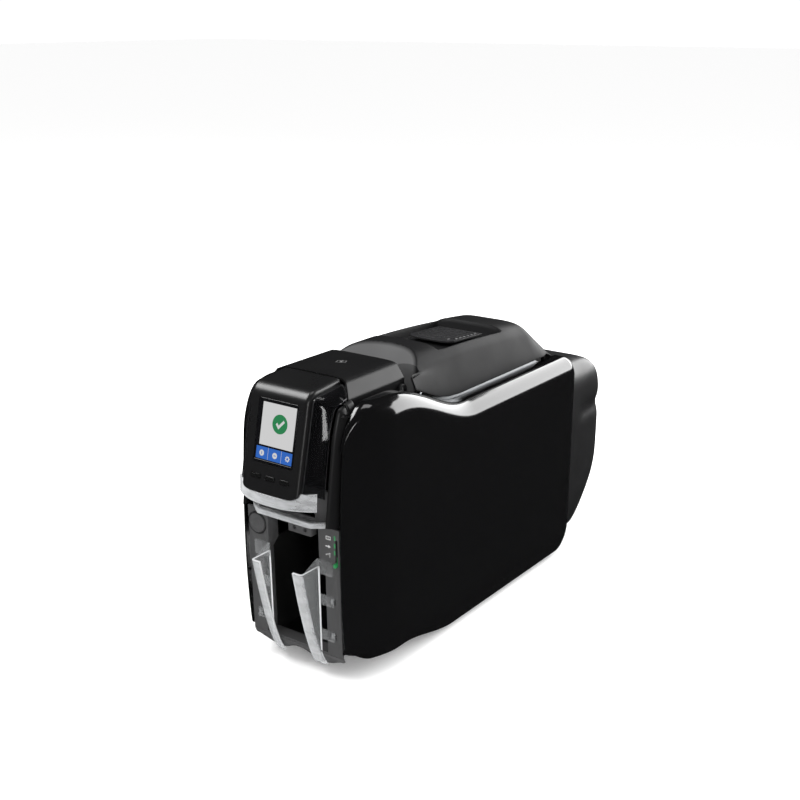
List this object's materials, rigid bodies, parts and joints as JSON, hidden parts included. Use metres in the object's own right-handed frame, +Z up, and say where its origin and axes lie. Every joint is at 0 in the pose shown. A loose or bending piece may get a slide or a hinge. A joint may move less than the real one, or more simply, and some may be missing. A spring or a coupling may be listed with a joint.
{
  "type": "card printer",
  "caption": "Desktop card printer with wave-crowned side panels, a lift-up hopper door with display, a hinged ribbon cover, a clear card bin and a rear turn-over unit.",
  "frame": {"origin": "middle of the footprint on the table, at the bottom centre of the bounding box", "axes": "+X to the right seen from the front, +Y from the front to the rear, +Z up"},
  "size_m": [0.158, 0.525, 0.285],
  "materials": {
    "gloss_black": "high gloss moulded",
    "satin_black": "satin moulded",
    "dark_grey": "fine satin texture",
    "mid_grey": "fine satin texture",
    "smoky_clear": "tinted, clear, polished",
    "clear": "clear, polished",
    "frame_steel": "powder coated sheet",
    "steel": "turned",
    "aluminium": "extruded",
    "roller_rubber": "ground",
    "rubber": "moulded",
    "board_green": "solder mask",
    "ribbon_white": "moulded",
    "ribbon_film": "thin film",
    "display_panel": "liquid crystal panel",
    "display_glass": "polished window",
    "lever_green": "moulded",
    "acetal": "moulded"
  },
  "bodies": {
    "chassis": {"base_tray": "satin_black", "side_panel_right": "gloss_black", "side_panel_left": "gloss_black", "frame_plate_right": "frame_steel", "frame_plate_left": "frame_steel", "front_frame": "mid_grey", "feed_lip": "clear", "bin_guide_right": "clear", "bin_guide_left": "clear", "bin_floor": "mid_grey", "tie_rods": "steel", "hopper_cradle": "satin_black", "rubber_feet": "rubber", "rear_panel": "satin_black", "main_board": "board_green", "transport_motor": "frame_steel", "roller_belt": "rubber", "motor_belt": "rubber", "ribbon_motor": "frame_steel", "fan_housing": "satin_black", "unit_cover": "dark_grey", "unit_frame": "frame_steel", "power_inlet": "satin_black", "usb_socket": "steel", "network_socket": "steel", "hinge_pins": "steel", "ribbon_cartridge": "ribbon_white", "ribbon_film": "ribbon_film", "panel_screws": "steel"},
    "door": {"door_bezel": "satin_black", "door_window": "smoky_clear", "door_lid": "satin_black", "display_panel": "display_panel", "display_glass": "display_glass", "key_board": "board_green"},
    "cover": {"ribbon_cover": "dark_grey", "head_bracket": "frame_steel"},
    "key_left": {"key_left": "satin_black"},
    "key_middle": {"key_middle": "satin_black"},
    "key_right": {"key_right": "satin_black"},
    "power_button": {"power_button": "dark_grey"},
    "thickness_lever": {"thickness_lever": "lever_green"},
    "release_pad": {"release_pad": "dark_grey"},
    "cover_latch": {"cover_latch": "acetal"},
    "print_head": {"print_head": "aluminium"},
    "feed_roller": {"feed_roller": "roller_rubber"},
    "entry_roller": {"entry_roller": "roller_rubber"},
    "platen_roller": {"platen_roller": "roller_rubber"},
    "exit_roller": {"exit_roller": "roller_rubber"},
    "tail_roller": {"tail_roller": "roller_rubber"},
    "entry_pinch": {"entry_pinch": "acetal"},
    "exit_pinch": {"exit_pinch": "acetal"},
    "tail_pinch": {"tail_pinch": "acetal"},
    "cleaning_roller": {"cleaning_roller": "roller_rubber"},
    "motor_pulley": {"motor_pulley": "steel"},
    "supply_spool": {"supply_spool": "ribbon_film"},
    "take_up_spool": {"take_up_spool": "ribbon_white"},
    "fan_rotor": {"fan_rotor": "satin_black"},
    "flipper_cradle": {"flipper_cradle": "dark_grey"},
    "flipper_roller": {"flipper_roller": "roller_rubber"}
  },
  "joints": [
    {"name": "door_lift", "type": "hinge", "parent": "chassis", "child": "door", "pos_m": [0, -0.1285, 0.259], "axis": [-1, 0, 0], "range_deg": [0, 60]},
    {"name": "key_left_press", "type": "slide", "parent": "door", "child": "key_left", "axis": [0, 0.9724, -0.2334], "range_m": [0, 0.0008], "stiffness_N_per_m": 400},
    {"name": "key_middle_press", "type": "slide", "parent": "door", "child": "key_middle", "axis": [0, 0.9724, -0.2334], "range_m": [0, 0.0008], "stiffness_N_per_m": 400},
    {"name": "key_right_press", "type": "slide", "parent": "door", "child": "key_right", "axis": [0, 0.9724, -0.2334], "range_m": [0, 0.0008], "stiffness_N_per_m": 400},
    {"name": "power_press", "type": "slide", "parent": "chassis", "child": "power_button", "axis": [0, 1, 0], "range_m": [0, 0.0015], "stiffness_N_per_m": 500},
    {"name": "lever_slide", "type": "slide", "parent": "chassis", "child": "thickness_lever", "axis": [0, 0, 1], "range_m": [0, 0.021]},
    {"name": "cover_lift", "type": "hinge", "parent": "chassis", "child": "cover", "pos_m": [0, 0.1395, 0.217], "axis": [-1, 0, 0], "range_deg": [0, 75]},
    {"name": "pad_press", "type": "slide", "parent": "cover", "child": "release_pad", "axis": [0, 0, -1], "range_m": [0, 0.003], "stiffness_N_per_m": 400, "springref_m": -0.001},
    {"name": "latch_turn", "type": "hinge", "parent": "cover", "child": "cover_latch", "pos_m": [0, 0.0015, 0.25], "axis": [-1, 0, 0], "range_deg": [0, 14.1]},
    {"name": "head_lift", "type": "slide", "parent": "cover", "child": "print_head", "axis": [0, 0, 1], "range_m": [0, 0.003], "stiffness_N_per_m": 600, "springref_m": -0.002},
    {"name": "platen_spin", "type": "hinge", "parent": "chassis", "child": "platen_roller", "pos_m": [0, -0.0265, 0.157], "axis": [1, 0, 0], "continuous": true},
    {"name": "feed_spin", "type": "hinge", "parent": "chassis", "child": "feed_roller", "pos_m": [0, -0.1765, 0.157], "axis": [1, 0, 0], "continuous": true},
    {"name": "entry_spin", "type": "hinge", "parent": "chassis", "child": "entry_roller", "pos_m": [0, -0.1025, 0.157], "axis": [1, 0, 0], "continuous": true},
    {"name": "exit_spin", "type": "hinge", "parent": "chassis", "child": "exit_roller", "pos_m": [0, 0.0495, 0.157], "axis": [1, 0, 0], "continuous": true},
    {"name": "tail_spin", "type": "hinge", "parent": "chassis", "child": "tail_roller", "pos_m": [0, 0.1235, 0.157], "axis": [1, 0, 0], "continuous": true},
    {"name": "motor_spin", "type": "hinge", "parent": "chassis", "child": "motor_pulley", "pos_m": [0, -0.0265, 0.092], "axis": [1, 0, 0], "continuous": true},
    {"name": "entry_pinch_spin", "type": "hinge", "parent": "chassis", "child": "entry_pinch", "pos_m": [0, -0.1025, 0.16976], "axis": [1, 0, 0], "continuous": true},
    {"name": "exit_pinch_spin", "type": "hinge", "parent": "chassis", "child": "exit_pinch", "pos_m": [0, 0.0495, 0.16976], "axis": [1, 0, 0], "continuous": true},
    {"name": "tail_pinch_spin", "type": "hinge", "parent": "chassis", "child": "tail_pinch", "pos_m": [0, 0.1235, 0.16976], "axis": [1, 0, 0], "continuous": true},
    {"name": "cleaning_spin", "type": "hinge", "parent": "chassis", "child": "cleaning_roller", "pos_m": [0, -0.0665, 0.16976], "axis": [1, 0, 0], "continuous": true},
    {"name": "supply_spin", "type": "hinge", "parent": "chassis", "child": "supply_spool", "pos_m": [0, -0.0745, 0.215], "axis": [-1, 0, 0], "continuous": true},
    {"name": "take_up_spin", "type": "hinge", "parent": "chassis", "child": "take_up_spool", "pos_m": [0, 0.0215, 0.215], "axis": [-1, 0, 0], "continuous": true},
    {"name": "fan_spin", "type": "hinge", "parent": "chassis", "child": "fan_rotor", "pos_m": [0.022, 0.1415, 0.112], "axis": [0, 1, 0], "continuous": true},
    {"name": "flipper_turn", "type": "hinge", "parent": "chassis", "child": "flipper_cradle", "pos_m": [0, 0.2085, 0.163], "axis": [1, 0, 0], "range_deg": [0, 180]},
    {"name": "flipper_roller_spin", "type": "hinge", "parent": "flipper_cradle", "child": "flipper_roller", "pos_m": [0, 0.1925, 0.157], "axis": [1, 0, 0], "continuous": true}
  ],
  "couplings": [
    {"joint": "feed_spin", "follows": "platen_spin", "ratio": 1},
    {"joint": "entry_spin", "follows": "platen_spin", "ratio": 1},
    {"joint": "exit_spin", "follows": "platen_spin", "ratio": 1},
    {"joint": "tail_spin", "follows": "platen_spin", "ratio": 1},
    {"joint": "motor_spin", "follows": "platen_spin", "ratio": 2},
    {"joint": "entry_pinch_spin", "follows": "platen_spin", "ratio": -1},
    {"joint": "exit_pinch_spin", "follows": "platen_spin", "ratio": -1},
    {"joint": "tail_pinch_spin", "follows": "platen_spin", "ratio": -1},
    {"joint": "cleaning_spin", "follows": "platen_spin", "ratio": -1},
    {"joint": "take_up_spin", "follows": "supply_spin", "ratio": 2.1333},
    {"joint": "latch_turn", "follows": "pad_press", "rad_per_m": 81.4}
  ]
}
